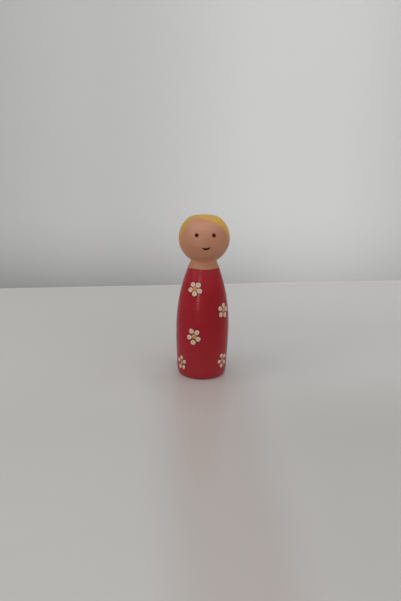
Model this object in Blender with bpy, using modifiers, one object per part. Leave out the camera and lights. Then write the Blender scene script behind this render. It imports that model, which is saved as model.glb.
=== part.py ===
# Painted wooden peg doll: one turned peg, its coats of paint, and dabs of paint on the coats.
# Metres, +Z up. The origin is the middle of the base, and the face looks along -Y.
# Azimuth is in degrees from the face towards +X, which is the doll's own left.

import math

import bmesh
import bpy
from mathutils import Matrix, Vector

# Turned peg, in bare wood
BODY_HEIGHT = 0.0608        # floor to neckline
BELLY_HEIGHT = 0.0268       # floor to the widest place
BELLY_DIAMETER = 0.0279     # full width of the blank, which the belly keeps
HEAD_INSET = 0.00115        # how far the head is turned in from the blank
CROWN_RADIUS = 0.0233       # low dome that the top of the head is turned to
CROWN_WIDTH = 0.0164        # across the dome, where it meets the ball of the head
BASE_INSET = 0.00135        # how far the side draws in from the belly to the floor
BASE_ROUNDING = 0.0016      # radius of the edge at the floor
NECK_DIAMETER = 0.0128
NECK_LENGTH = 0.0006        # straight stretch under the head
FLARE_WIDTH = 0.00135       # how far the foot of the neck spreads out to the neckline
FLARE_HEIGHT = 0.0040

# Coats of paint
COAT_THICKNESS = 0.00015
SEAT_GAP = 0.0002           # clearance of a coat or a dab from what it is painted on
NECKLINE_GAP = 0.0003       # between the skin coat and the dress coat
HEM_CLEARANCE = 0.0003      # dress coat above the floor

# Hair: its edge round the face, and its lower edge
FACE_TILT = 18              # the face opening is cut along a line that rises forwards by this angle
FACE_OUTLINE = (            # azimuth and latitude about that line
    (-77, -30), (-67, -9), (-63, 19), (-56, 40), (-42, 54), (-11, 49),
    (33, 35), (54, 18), (61, -7), (80, -20),
)
CHIN_LATITUDE = -75         # lowest place of the face opening
CHEEK_AZIMUTH = 60
CHEEK_LATITUDE = -22        # lower edge of the hair beside the face
BACK_AZIMUTH = 180
NAPE_LATITUDE = -40         # lower edge of the hair at the back
TRIM_ANGLE = 5              # how far the hair is turned past its lower edge before it is cut there

# Face
EYE_AZIMUTH = -1.9          # middle of the two eyes
EYE_SPREAD = 21             # azimuth from there to each eye
EYE_LATITUDE = 21.2
EYE_WIDTH = 0.0021
EYE_HEIGHT = 0.0021
EYE_THICKNESS = 0.0003
SMILE_AZIMUTH = 0.8         # middle of the smile
SMILE_LATITUDE = -9.6       # lowest place of the smile
SMILE_SPREAD = 8.0          # azimuth from its middle to its corners
SMILE_RISE = 4              # how much higher in latitude its corners are
SMILE_TILT = 1.1            # how much the left corner is raised and the right one lowered
SMILE_STROKE = 0.0009

# Daisies
PETALS = 5
PETAL_DIAMETER = 0.0029
SMALL_PETAL = 0.0024        # diameter of a petal near the hem
PETAL_GAP = 0.00025         # least gap between neighbouring petals
PETAL_THICKNESS = 0.00045
CENTRE_GAP = 0.00025        # between the middle dab and the petals
CENTRE_THICKNESS = 0.00055
SHOULDER_DROP = 0.0094      # neckline down to the highest daisies
WAIST_RISE = 0.0120         # belly up to the daisies at the waist
BELLY_DROP = 0.0011         # belly down to the daisies on it
RIGHT_HEM_RISE = 0.0085     # floor up to the lowest daisies
LEFT_HEM_RISE = 0.0102

# Fineness of the round shapes
TURN_STEPS = 36
HEAD_STEPS = 10
CROWN_STEPS = 4
FLARE_STEPS = 5
BODY_STEPS = 8
ROUNDING_STEPS = 3
DAB_SEGMENTS = 12
DAB_RINGS = 6
SMILE_STEPS = 6
SMILE_RESOLUTION = 2
OUTLINE_STEPS = 4
SHARP_ANGLE = 60
MERGE_DISTANCE = 1e-6

# Colour and roughness of the wood and the paints
BARE_WOOD = ("bare_wood", (0.60, 0.42, 0.25), 0.6)
SKIN_PAINT = ("skin_paint", (0.60, 0.31, 0.20), 0.5)
HAIR_PAINT = ("hair_paint", (0.70, 0.44, 0.12), 0.45)
DRESS_PAINT = ("dress_paint", (0.30, 0.014, 0.022), 0.35)
PETAL_PAINT = ("petal_paint", (0.80, 0.70, 0.58), 0.4)
CENTRE_PAINT = ("centre_paint", (0.62, 0.24, 0.03), 0.4)
FACE_PAINT = ("face_paint", (0.045, 0.010, 0.003), 0.4)

# Worked out from the sizes above
BELLY_RADIUS = BELLY_DIAMETER / 2
HEAD_RADIUS = BELLY_RADIUS - HEAD_INSET
HEAD_DIAMETER = 2 * HEAD_RADIUS
NECK_RADIUS = NECK_DIAMETER / 2
NECKLINE_RADIUS = NECK_RADIUS + FLARE_WIDTH
NECK_FOOT = BODY_HEIGHT + FLARE_HEIGHT
HEAD_CENTRE = NECK_FOOT + NECK_LENGTH + math.sqrt(HEAD_RADIUS ** 2 - NECK_RADIUS ** 2)
CROWN_DROP = math.sqrt(CROWN_RADIUS ** 2 - (CROWN_WIDTH / 2) ** 2) - math.sqrt(
    HEAD_RADIUS ** 2 - (CROWN_WIDTH / 2) ** 2)      # from the middle of the ball to that of the dome

COAT_OUTSIDE = SEAT_GAP + COAT_THICKNESS        # all these out from the wood
COAT_SEAT = COAT_OUTSIDE + SEAT_GAP
HAIR_OUTSIDE = COAT_SEAT + COAT_THICKNESS

# Name, azimuth, height, petal diameter, height of the ring of petals as a share of its width, and
# angle of the first petal, for each daisy
DAISIES = (
    ("right_shoulder_daisy", -26.8, BODY_HEIGHT - SHOULDER_DROP, PETAL_DIAMETER, 1, 54),
    ("left_waist_daisy", 48.4, BELLY_HEIGHT + WAIST_RISE, PETAL_DIAMETER, 1.08, 4),
    ("right_belly_daisy", -22.6, BELLY_HEIGHT - BELLY_DROP, PETAL_DIAMETER, 1.27, 48),
    ("right_hem_daisy", -55, RIGHT_HEM_RISE, SMALL_PETAL, 1.33, 19),
    ("left_hem_daisy", 48, LEFT_HEM_RISE, SMALL_PETAL, 1.43, 41),
    ("back_shoulder_daisy", 165, BODY_HEIGHT - SHOULDER_DROP, PETAL_DIAMETER, 1, 18),
    ("back_waist_daisy", -130, BELLY_HEIGHT + WAIST_RISE, PETAL_DIAMETER, 1.1, 40),
    ("back_belly_daisy", 145, BELLY_HEIGHT - BELLY_DROP, PETAL_DIAMETER, 1.2, 62),
)


def arc_through(drop, inset):
    # Radius of an arc that leaves the belly upright and moves in by inset over a height of drop
    return (drop ** 2 + inset ** 2) / (2 * inset)


UPPER_RADIUS = arc_through(BODY_HEIGHT - BELLY_HEIGHT, BELLY_RADIUS - NECKLINE_RADIUS)
LOWER_RADIUS = arc_through(BELLY_HEIGHT, BASE_INSET)
UPPER_CENTRE = Vector((BELLY_RADIUS - UPPER_RADIUS, BELLY_HEIGHT))
LOWER_CENTRE = Vector((BELLY_RADIUS - LOWER_RADIUS, BELLY_HEIGHT))
SHOULDER_ANGLE = math.asin((BODY_HEIGHT - BELLY_HEIGHT) / UPPER_RADIUS)
ROUNDING_ANGLE = -math.asin((BELLY_HEIGHT - BASE_ROUNDING) / (LOWER_RADIUS - BASE_ROUNDING))
ROUNDING_CENTRE = LOWER_CENTRE + (LOWER_RADIUS - BASE_ROUNDING) * Vector(
    (math.cos(ROUNDING_ANGLE), math.sin(ROUNDING_ANGLE)))


def clear_scene():
    for item in list(bpy.data.objects):
        bpy.data.objects.remove(item, do_unlink=True)


def add_collection(name):
    collection = bpy.data.collections.new(name)
    bpy.context.scene.collection.children.link(collection)
    return collection


def add_object(name, data, collection):
    item = bpy.data.objects.new(name, data)
    collection.objects.link(item)
    return item


def make_material(name, colour, roughness):
    material = bpy.data.materials.new(name)
    material.use_nodes = True
    shader = material.node_tree.nodes["Principled BSDF"]
    shader.inputs["Base Color"].default_value = (*colour, 1)
    shader.inputs["Roughness"].default_value = roughness
    shader.inputs["Metallic"].default_value = 0
    return material


# Outline of the peg as radius and height, offset outwards by grow

def arc(centre, radius, start, end, steps):
    points = []
    for step in range(steps + 1):
        angle = start + (end - start) * step / steps
        points.append(centre + radius * Vector((math.cos(angle), math.sin(angle))))
    return points


def crease_angle(grow):
    return -math.acos((NECK_RADIUS + grow) / (HEAD_RADIUS + grow))


def head_line(grow, lowest):
    # The dome down to where it meets the ball, and the ball down to its lowest angle
    dome = CROWN_RADIUS + grow
    ball = HEAD_RADIUS + grow
    rise = (dome ** 2 - ball ** 2 - CROWN_DROP ** 2) / (2 * CROWN_DROP)     # from the ball's middle
    crown = arc(Vector((0, HEAD_CENTRE - CROWN_DROP)), dome, math.pi / 2,
                math.asin((rise + CROWN_DROP) / dome), CROWN_STEPS)
    return crown + arc(Vector((0, HEAD_CENTRE)), ball, math.asin(rise / ball), lowest, HEAD_STEPS)[1:]


def flare_line(grow):
    top = Vector((NECK_RADIUS, NECK_FOOT))
    end = Vector((NECKLINE_RADIUS, BODY_HEIGHT))
    pull = (end - top).length / 3
    lean = Vector((-math.sin(SHOULDER_ANGLE), math.cos(SHOULDER_ANGLE)))
    knots = (top, top - Vector((0, pull)), end + pull * lean, end)
    points = []
    for step in range(FLARE_STEPS + 1):
        far = step / FLARE_STEPS
        near = 1 - far
        weights = (near ** 3, 3 * near ** 2 * far, 3 * near * far ** 2, far ** 3)
        slopes = (-near ** 2, near ** 2 - 2 * near * far, 2 * near * far - far ** 2, far ** 2)
        place = sum((weight * knot for weight, knot in zip(weights, knots)), Vector((0, 0)))
        along = sum((slope * knot for slope, knot in zip(slopes, knots)), Vector((0, 0)))
        outwards = Vector((-along.y, along.x)).normalized()
        points.append(place + grow * outwards)
    return points


def body_line(grow, start):
    upper = arc(UPPER_CENTRE, UPPER_RADIUS + grow, start, 0, BODY_STEPS)
    lower = arc(LOWER_CENTRE, LOWER_RADIUS + grow, 0, ROUNDING_ANGLE, BODY_STEPS // 2)
    return upper + lower[1:]


def rounding_line(grow, end):
    return arc(ROUNDING_CENTRE, BASE_ROUNDING + grow, ROUNDING_ANGLE, end, ROUNDING_STEPS)


def skin_line(grow):
    return head_line(grow, crease_angle(grow)) + flare_line(grow)


def dress_line(grow):
    start = SHOULDER_ANGLE - NECKLINE_GAP / UPPER_RADIUS
    hem = math.asin((HEM_CLEARANCE - ROUNDING_CENTRE.y) / (BASE_ROUNDING + COAT_OUTSIDE))
    return body_line(grow, start) + rounding_line(grow, hem)[1:]


def hair_line(grow):
    return head_line(grow, math.radians(NAPE_LATITUDE - TRIM_ANGLE))


# Pieces

def turned(name, line, closed, finish, collection):
    mesh = bpy.data.meshes.new(name)
    build = bmesh.new()
    corners = [build.verts.new((point.x, 0, point.y)) for point in line]
    for upper, lower in zip(corners, corners[1:]):
        build.edges.new((upper, lower))
    if closed:
        build.edges.new((corners[-1], corners[0]))
    build.to_mesh(mesh)
    build.free()
    mesh.materials.append(make_material(*finish))
    item = add_object(name, mesh, collection)
    lathe = item.modifiers.new("lathe", 'SCREW')
    lathe.axis = 'Z'
    lathe.steps = TURN_STEPS
    lathe.render_steps = TURN_STEPS
    lathe.use_merge_vertices = True
    lathe.merge_threshold = MERGE_DISTANCE
    lathe.use_smooth_shade = True
    return item


def make_peg(collection):
    line = skin_line(0) + body_line(0, SHOULDER_ANGLE)[1:]
    line += rounding_line(0, -math.pi / 2)[1:] + [Vector((0, 0))]
    turned("wood_peg", line, False, BARE_WOOD, collection)


def make_skin(collection):
    line = skin_line(COAT_OUTSIDE) + skin_line(SEAT_GAP)[::-1]
    turned("skin_coat", line, False, SKIN_PAINT, collection)


def make_dress(collection):
    line = dress_line(COAT_OUTSIDE) + dress_line(SEAT_GAP)[::-1]
    turned("dress_coat", line, True, DRESS_PAINT, collection)


def on_head(azimuth, latitude, radius):
    turn = math.radians(azimuth)
    lift = math.radians(latitude)
    flat = math.cos(lift)
    outwards = Vector((flat * math.sin(turn), -flat * math.cos(turn), math.sin(lift)))
    return Vector((0, 0, HEAD_CENTRE)) + radius * outwards, outwards


def face_cutter(collection):
    depth = HEAD_DIAMETER
    curve = bpy.data.curves.new("face_outline", 'CURVE')
    curve.dimensions = '2D'
    curve.fill_mode = 'BOTH'
    curve.extrude = depth / 2
    curve.resolution_u = OUTLINE_STEPS
    spline = curve.splines.new('BEZIER')
    outline = FACE_OUTLINE + ((0, CHIN_LATITUDE),)
    spline.bezier_points.add(len(outline) - 1)
    for knot, (azimuth, latitude) in zip(spline.bezier_points, outline):
        place = on_head(azimuth, latitude, HEAD_RADIUS)[0]
        knot.co = (place.x, place.z - HEAD_CENTRE, 0)
        knot.handle_left_type = 'AUTO'
        knot.handle_right_type = 'AUTO'
    spline.use_cyclic_u = True
    guide = add_object("face_outline", curve, collection)
    bpy.context.view_layer.update()
    mesh = bpy.data.meshes.new_from_object(guide.evaluated_get(bpy.context.evaluated_depsgraph_get()))
    bpy.data.objects.remove(guide)
    build = bmesh.new()
    build.from_mesh(mesh)
    bmesh.ops.remove_doubles(build, verts=build.verts, dist=MERGE_DISTANCE)
    bmesh.ops.recalc_face_normals(build, faces=build.faces)
    build.to_mesh(mesh)
    build.free()
    cutter = add_object("face_cutter", mesh, collection)
    tilt = math.radians(FACE_TILT)
    cutter.location = (0, -depth / 2 * math.cos(tilt), HEAD_CENTRE + depth / 2 * math.sin(tilt))
    cutter.rotation_euler = (math.pi / 2 - tilt, 0, 0)
    return cutter


def nape_cutter(collection):
    # A block whose top lies in the plane through the cheeks and the nape
    cheek = on_head(CHEEK_AZIMUTH, CHEEK_LATITUDE, HEAD_RADIUS)[0]
    nape = on_head(BACK_AZIMUTH, NAPE_LATITUDE, HEAD_RADIUS)[0]
    size = 2 * HEAD_DIAMETER
    mesh = bpy.data.meshes.new("nape_cutter")
    build = bmesh.new()
    bmesh.ops.create_cube(build, size=size, matrix=Matrix.Translation((0, 0, -size / 2)))
    build.to_mesh(mesh)
    build.free()
    cutter = add_object("nape_cutter", mesh, collection)
    cutter.location = (0, nape.y, nape.z)
    cutter.rotation_euler = (-math.atan2(cheek.z - nape.z, nape.y - cheek.y), 0, 0)
    return cutter


def make_hair(collection, cutters):
    line = hair_line(HAIR_OUTSIDE) + hair_line(COAT_SEAT)[::-1]
    hair = turned("hair_coat", line, False, HAIR_PAINT, collection)
    for cutter in (face_cutter(cutters), nape_cutter(cutters)):
        cutter.hide_render = True
        cutter.display_type = 'WIRE'
        cut = hair.modifiers.new(cutter.name, 'BOOLEAN')
        cut.operation = 'DIFFERENCE'
        cut.solver = 'EXACT'
        cut.object = cutter


def dab_mesh(name, width, height, thickness, material):
    # A dome on a flat base, with X across, Y up and Z out of the surface
    mesh = bpy.data.meshes.new(name)
    build = bmesh.new()
    stretch = Matrix.Diagonal((width / 2, height / 2, thickness, 1))
    bmesh.ops.create_uvsphere(build, u_segments=DAB_SEGMENTS, v_segments=DAB_RINGS, radius=1,
                              matrix=stretch)
    everything = build.verts[:] + build.edges[:] + build.faces[:]
    bmesh.ops.bisect_plane(build, geom=everything, dist=MERGE_DISTANCE, plane_co=(0, 0, 0),
                           plane_no=(0, 0, 1), clear_inner=True)
    bmesh.ops.holes_fill(build, edges=build.edges)
    bmesh.ops.recalc_face_normals(build, faces=build.faces)
    build.to_mesh(mesh)
    build.free()
    mesh.materials.append(material)
    mesh.shade_smooth()
    mesh.set_sharp_from_angle(angle=math.radians(SHARP_ANGLE))
    return mesh


def place_dab(item, place, outwards):
    across = Vector((0, 0, 1)).cross(outwards).normalized()
    up = outwards.cross(across)
    turn = Matrix((across, up, outwards)).transposed()
    item.location = place
    item.rotation_euler = turn.to_euler()


def make_eyes(collection, material):
    mesh = dab_mesh("eye_dab", EYE_WIDTH, EYE_HEIGHT, EYE_THICKNESS, material)
    for name, side in (("eye_left", 1), ("eye_right", -1)):
        eye = add_object(name, mesh, collection)
        place_dab(eye, *on_head(EYE_AZIMUTH + side * EYE_SPREAD, EYE_LATITUDE, HEAD_RADIUS + COAT_SEAT))


def make_smile(collection, material):
    curve = bpy.data.curves.new("smile", 'CURVE')
    curve.dimensions = '3D'
    curve.bevel_depth = SMILE_STROKE / 2
    curve.bevel_resolution = SMILE_RESOLUTION
    curve.use_fill_caps = True
    curve.materials.append(material)
    spline = curve.splines.new('POLY')
    spline.points.add(SMILE_STEPS)
    for step, point in enumerate(spline.points):
        side = 2 * step / SMILE_STEPS - 1
        azimuth = SMILE_AZIMUTH + SMILE_SPREAD * side
        latitude = SMILE_LATITUDE + SMILE_RISE * side ** 2 + SMILE_TILT * side
        place = on_head(azimuth, latitude, HEAD_RADIUS + COAT_SEAT + SMILE_STROKE / 2)[0]
        point.co = (*place, 1)
    add_object("smile", curve, collection)


def on_dress(azimuth, height):
    # Point just clear of the dress coat, and the direction out of it
    rise = height - BELLY_HEIGHT
    centre = UPPER_CENTRE if rise > 0 else LOWER_CENTRE
    radius = (UPPER_RADIUS if rise > 0 else LOWER_RADIUS) + COAT_SEAT
    lift = math.asin(rise / radius)
    flat = centre.x + radius * math.cos(lift)
    turn = math.radians(azimuth)
    place = Vector((flat * math.sin(turn), -flat * math.cos(turn), height))
    outwards = Vector((math.cos(lift) * math.sin(turn), -math.cos(lift) * math.cos(turn), math.sin(lift)))
    return place, outwards


def make_daisies(collection):
    petal_paint = make_material(*PETAL_PAINT)
    centre_paint = make_material(*CENTRE_PAINT)
    for name, azimuth, height, diameter, stretch, first in DAISIES:
        ring = (diameter + PETAL_GAP) / (2 * math.sin(math.pi / PETALS))
        room = 2 * (ring - CENTRE_GAP) - diameter
        petal = dab_mesh(name + "_petal", diameter, diameter, PETAL_THICKNESS, petal_paint)
        middle = dab_mesh(name + "_centre", room, room, CENTRE_THICKNESS, centre_paint)
        centre = add_object(name + "_centre", middle, collection)
        place, outwards = on_dress(azimuth, height)
        place_dab(centre, place, outwards)
        slope = math.hypot(outwards.x, outwards.y)
        flat = math.hypot(place.x, place.y)
        for number in range(PETALS):
            angle = math.radians(first) + 2 * math.pi * number / PETALS
            aside = math.degrees(ring * math.cos(angle) / flat)
            rise = stretch * ring * math.sin(angle) * slope
            dab = add_object(name + "_petal_" + str(number + 1), petal, collection)
            place_dab(dab, *on_dress(azimuth + aside, height + rise))


def main():
    clear_scene()
    doll = add_collection("peg_doll")
    cutters = add_collection("cutters")
    make_peg(doll)
    make_skin(doll)
    make_hair(doll, cutters)
    make_dress(doll)
    face = make_material(*FACE_PAINT)
    make_eyes(doll, face)
    make_smile(doll, face)
    make_daisies(doll)


main()
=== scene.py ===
from bisect import bisect_left
from math import atan2, ceil, cos, degrees, hypot, pi, radians, sin, sqrt
from random import Random

import bmesh
import bpy
from mathutils import Matrix, Quaternion, Vector, noise
from mathutils.bvhtree import BVHTree
from mathutils.geometry import interpolate_bezier


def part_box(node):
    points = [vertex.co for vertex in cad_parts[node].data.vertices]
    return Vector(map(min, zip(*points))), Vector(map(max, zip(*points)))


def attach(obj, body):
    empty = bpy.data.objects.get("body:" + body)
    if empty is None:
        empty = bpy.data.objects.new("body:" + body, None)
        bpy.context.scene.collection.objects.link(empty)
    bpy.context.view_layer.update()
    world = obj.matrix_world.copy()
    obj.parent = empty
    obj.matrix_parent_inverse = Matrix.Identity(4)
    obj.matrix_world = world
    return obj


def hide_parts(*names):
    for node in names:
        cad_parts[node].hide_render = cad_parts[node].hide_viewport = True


# A painted peg doll: a turned peg, its coats of paint, and the dabs on them.
# The face looks along -Y. Azimuth turns from the face towards +X, the doll's own left.

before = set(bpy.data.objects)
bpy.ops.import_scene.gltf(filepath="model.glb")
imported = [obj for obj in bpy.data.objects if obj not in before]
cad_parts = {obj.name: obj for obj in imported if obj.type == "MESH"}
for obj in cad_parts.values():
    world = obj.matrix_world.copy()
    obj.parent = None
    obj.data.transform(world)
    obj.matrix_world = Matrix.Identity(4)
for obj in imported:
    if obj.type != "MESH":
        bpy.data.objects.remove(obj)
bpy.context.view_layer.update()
scene = bpy.context.scene
mm = 0.001
mergeGap = 1e-6
spinSectors = 12
print("frame loaded:", len(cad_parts), "nodes")


# Outline of the peg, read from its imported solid

outlineSettings = {
    "sameRing": 0.1 * mm,       # corners closer than this belong to one ring of the solid
    "facesOut": 1e-6,
    "spacing": 0.2 * mm,
}


def fromAxis(place):
    return hypot(place.x, place.y)


def sideOutline(node):
    # side of a turned solid as (radius, height), from the top down
    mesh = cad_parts[node].data
    spots = []
    for face in mesh.polygons:
        if face.normal.x * face.center.x + face.normal.y * face.center.y > outlineSettings["facesOut"]:
            for index in face.vertices:
                corner = mesh.vertices[index].co
                spots.append(Vector((fromAxis(corner), corner.z)))
    line = []
    for spot in sorted(spots, key=lambda point: -point.y):
        if not any((spot - known).length < outlineSettings["sameRing"] for known in line[-3:]):
            line.append(spot)
    return line


def smoothLine(points, spacing):
    # cubic curve through the points, whose ends carry on as they run
    chords = [after - before for before, after in zip(points, points[1:])]
    slopes = []
    for before, after in zip(chords, chords[1:]):
        near, far = before.length, after.length
        slopes.append((before * far / near + after * near / far) / (near + far))
    slopes.insert(0, 2 * chords[0] / chords[0].length - slopes[0])
    slopes.append(2 * chords[-1] / chords[-1].length - slopes[-1])
    line = [points[0]]
    for index, chord in enumerate(chords):
        reach = chord.length / 3
        start, end = points[index], points[index + 1]
        pieces = max(1, ceil(chord.length / spacing))
        line += interpolate_bezier(start, start + slopes[index] * reach, end - slopes[index + 1] * reach,
                                   end, pieces + 1)[1:]
    return line


def raised(line, lift):
    # the line moved outwards
    last = len(line) - 1
    moved = []
    for index, point in enumerate(line):
        along = line[min(index + 1, last)] - line[max(index - 1, 0)]
        moved.append(point + Vector((-along.y, along.x)).normalized() * lift)
    return moved


def sharpestTurn(points):
    corners = zip(points, points[1:], points[2:])
    turns = [(after - here).angle(here - before) for before, here, after in corners]
    return turns.index(max(turns)) + 1


pegCorners = sideOutline("wood_peg")
crease = sharpestTurn(pegCorners)       # where the head meets the neck
headLine = smoothLine(pegCorners[:crease + 1], outlineSettings["spacing"])
bodyLine = smoothLine(pegCorners[crease:], outlineSettings["spacing"])
headRadius = max(point.x for point in headLine)
headMiddle = Vector((0, 0, headLine[-1].y + sqrt(headRadius ** 2 - headLine[-1].x ** 2)))
headTurns = [atan2(point.x, point.y - headMiddle.z) for point in headLine]      # angles from the top
headReaches = [hypot(point.x, point.y - headMiddle.z) for point in headLine]
bellyRadius = max(point.x for point in bodyLine)
bodyDepths = [-point.y for point in bodyLine]
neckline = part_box("skin_coat")[0].z
packedHair = BVHTree.FromObject(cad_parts["hair_coat"], bpy.context.evaluated_depsgraph_get())
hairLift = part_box("hair_coat")[1].x - headRadius        # both out from the wood
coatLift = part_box("dress_coat")[1].x - bellyRadius
print("outline read: head radius", round(headRadius / mm, 2), "mm,",
      "belly radius", round(bellyRadius / mm, 2), "mm")


# Shared tools

def between(keys, values, key):
    # value at a key, from lists in rising order of the keys
    index = min(max(bisect_left(keys, key), 1), len(keys) - 1)
    share = (key - keys[index - 1]) / (keys[index] - keys[index - 1])
    return values[index - 1] + (values[index] - values[index - 1]) * share


def goesRound(edge):
    first, second = (vert.co for vert in edge.verts)
    return abs(first.z - second.z) < mergeGap and abs(fromAxis(first) - fromAxis(second)) < mergeGap


def lathe(line, steps, closed=False):
    # a profile spun round +Z in a few wide sectors, which are then cut finer and made round again
    build = bmesh.new()
    chain = [build.verts.new((point[0], 0, point[1])) for point in line]
    for upper, lower in zip(chain, chain[1:]):
        build.edges.new((upper, lower))
    if closed:
        build.edges.new((chain[-1], chain[0]))
    bmesh.ops.spin(build, geom=build.verts[:] + build.edges[:], axis=(0, 0, 1), cent=(0, 0, 0),
                   angle=2 * pi, steps=spinSectors, use_merge=True)
    bmesh.ops.remove_doubles(build, verts=build.verts, dist=mergeGap)
    bmesh.ops.subdivide_edges(build, edges=[edge for edge in build.edges if goesRound(edge)],
                              cuts=steps // spinSectors - 1)
    sector = 2 * pi / spinSectors
    for vert in build.verts:
        aside = atan2(vert.co.y, vert.co.x) % sector - sector / 2
        vert.co.xy *= cos(aside) / cos(sector / 2)
    bmesh.ops.recalc_face_normals(build, faces=build.faces)
    return build


def emboss(build, heightAt):
    # moves each point along its normal, by the height of the relief there
    build.normal_update()
    for vert in build.verts:
        vert.co += vert.normal * heightAt(vert.co)


def addPiece(build, name, material):
    mesh = bpy.data.meshes.new(name)
    build.to_mesh(mesh)
    build.free()
    mesh.shade_smooth()
    mesh.materials.append(material)
    piece = bpy.data.objects.new(name, mesh)
    scene.collection.objects.link(piece)
    return piece


def finishPiece(build, name, node, material):
    bmesh.ops.recalc_face_normals(build, faces=build.faces)
    piece = addPiece(build, name, material)
    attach(piece, "root")
    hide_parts(node)


def camelName(node):
    first, *others = node.split("_")
    return first + "".join(word.capitalize() for word in others)


def easeBetween(low, high, value):
    share = min(max((value - low) / (high - low), 0), 1)
    return share * share * (3 - 2 * share)


def aroundAxis(place):
    return Vector((place.x, place.y, 0)).normalized()


# Neckline: painted a little high, lower at the sides, and uneven

necklineSettings = {
    "rise": 0.7 * mm,
    "sideDrop": 1.1 * mm,
    "uneven": 0.12 * mm,
    "unevenDensity": 1.3,
    "sidePower": 6,             # how close to the sides the drop keeps
    "above": (0.5 * mm, 3.4 * mm),      # where the shift dies out, up the neck and down the dress
    "below": (1 * mm, 5 * mm),
}


def bendNeckline(build):
    look = necklineSettings
    radii = [point.x for point in bodyLine]
    for vert in build.verts:
        height = vert.co.z - neckline
        near = 1 - (easeBetween(*look["above"], height) if height > 0
                    else easeBetween(*look["below"], -height))
        if near > 0:
            around = aroundAxis(vert.co)
            uneven = look["uneven"] * noise.noise(around * look["unevenDensity"] + Vector((0, 0, 4)))
            shift = near * (look["rise"] - look["sideDrop"] * around.x ** look["sidePower"] + uneven)
            grown = between(bodyDepths, radii, -vert.co.z - shift) - between(bodyDepths, radii, -vert.co.z)
            vert.co += around * grown + Vector((0, 0, shift))


# Shader tools

def addNode(tree, kind, **settings):
    node = tree.nodes.new(kind)
    for key, value in settings.items():
        setattr(node, key, value)
    return node


def fill(tree, socket, value):
    # links a socket, or sets its value
    if isinstance(value, bpy.types.NodeSocket):
        tree.links.new(value, socket)
    else:
        socket.default_value = value


def feed(tree, node, **sockets):
    # _ stands for a space in a socket's name
    for key, value in sockets.items():
        fill(tree, node.inputs[key.replace("_", " ")], value)


def noiseOf(tree, place, scale, detail=2.0, roughness=0.5):
    node = addNode(tree, "ShaderNodeTexNoise")
    feed(tree, node, Vector=place, Scale=scale, Detail=detail, Roughness=roughness)
    return node.outputs["Fac"]


def remap(tree, value, low, high, toLow=0.0, toHigh=1.0):
    node = addNode(tree, "ShaderNodeMapRange", interpolation_type='SMOOTHSTEP')
    feed(tree, node, Value=value, From_Min=low, From_Max=high, To_Min=toLow, To_Max=toHigh)
    return node.outputs["Result"]


def calc(tree, operation, first, second=0.0):
    node = addNode(tree, "ShaderNodeMath", operation=operation)
    fill(tree, node.inputs[0], first)
    fill(tree, node.inputs[1], second)
    return node.outputs["Value"]


def times(tree, first, second):
    return calc(tree, 'MULTIPLY', first, second)


def layered(tree, colour, *layers):
    # each layer is a share and a colour, laid over those before it
    for share, tint in layers:
        node = addNode(tree, "ShaderNodeMix", data_type='RGBA')
        for index, value in ((0, share), (6, colour), (7, tint)):
            fill(tree, node.inputs[index], value)
        colour = node.outputs[2]
    return colour


def stretched(tree, place, density):
    node = addNode(tree, "ShaderNodeVectorMath", operation='MULTIPLY')
    fill(tree, node.inputs[0], place)
    fill(tree, node.inputs[1], density)
    return node.outputs["Vector"]


def axesOf(tree, place):
    node = addNode(tree, "ShaderNodeSeparateXYZ")
    feed(tree, node, Vector=place)
    return node.outputs


def newGroup(name, inputs, outputs):
    group = bpy.data.node_groups.new(name, "ShaderNodeTree")
    for side, sockets in (('INPUT', inputs), ('OUTPUT', outputs)):
        for label, kind in sockets:
            group.interface.new_socket(name=label, in_out=side, socket_type="NodeSocket" + kind)
    return group, addNode(group, "NodeGroupInput").outputs, addNode(group, "NodeGroupOutput")


def useGroup(tree, group, **sockets):
    node = addNode(tree, "ShaderNodeGroup", node_tree=group)
    feed(tree, node, **sockets)
    return node.outputs


def newMaterial(name, shown):
    # shown is the plain colour for solid view
    material = bpy.data.materials.new(name)
    material.use_nodes = True
    material.diffuse_color = shown
    tree = material.node_tree
    return material, tree, tree.nodes["Principled BSDF"]


def bumpFrom(tree, height, depth):
    node = addNode(tree, "ShaderNodeBump")
    feed(tree, node, Height=height, Distance=depth, Strength=1.0)
    return node.outputs["Normal"]


def stored(tree, name):
    return addNode(tree, "ShaderNodeAttribute", attribute_name=name).outputs


def objectPlace(tree):
    return addNode(tree, "ShaderNodeTexCoord").outputs["Object"]


# Brushed paint: streaks along the brush, cloudy thick and thin places, and a fine grain

brushSettings = {
    "strokeRange": (0.48, 0.72),        # where thin paint starts and is full
    "cloudRange": (0.42, 0.68),
    "grainDensity": 3200.0,
    "grainShare": 0.3,
}


def makeBrushedPaint():
    look = brushSettings
    group, given, result = newGroup(
        "brushedPaint",
        (("Place", "Vector"), ("Colour", "Color"), ("Thin colour", "Color"), ("Deep colour", "Color"),
         ("Stroke density", "Vector"), ("Cloud density", "Float"), ("Thin share", "Float"),
         ("Deep share", "Float"), ("Roughness", "Float"), ("Roughness spread", "Float")),
        (("Colour", "Color"), ("Roughness", "Float"), ("Height", "Float")))
    strokes = noiseOf(group, stretched(group, given["Place"], given["Stroke density"]), 1.0, 3.0, 0.6)
    clouds = noiseOf(group, given["Place"], given["Cloud density"], 3.0, 0.55)
    grain = noiseOf(group, given["Place"], look["grainDensity"], 1.0)
    thin = times(group, remap(group, strokes, *look["strokeRange"]), given["Thin share"])
    deep = times(group, remap(group, clouds, *look["cloudRange"]), given["Deep share"])
    colour = layered(group, given["Colour"], (thin, given["Thin colour"]), (deep, given["Deep colour"]))
    uneven = calc(group, 'ADD', times(group, strokes, 1 - look["grainShare"]),
                  times(group, grain, look["grainShare"]))
    change = times(group, calc(group, 'SUBTRACT', uneven, 0.5), given["Roughness spread"])
    roughness = calc(group, 'ADD', given["Roughness"], change)
    feed(group, result, Colour=colour, Roughness=roughness, Height=uneven)
    return group


brushedPaint = makeBrushedPaint()


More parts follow.
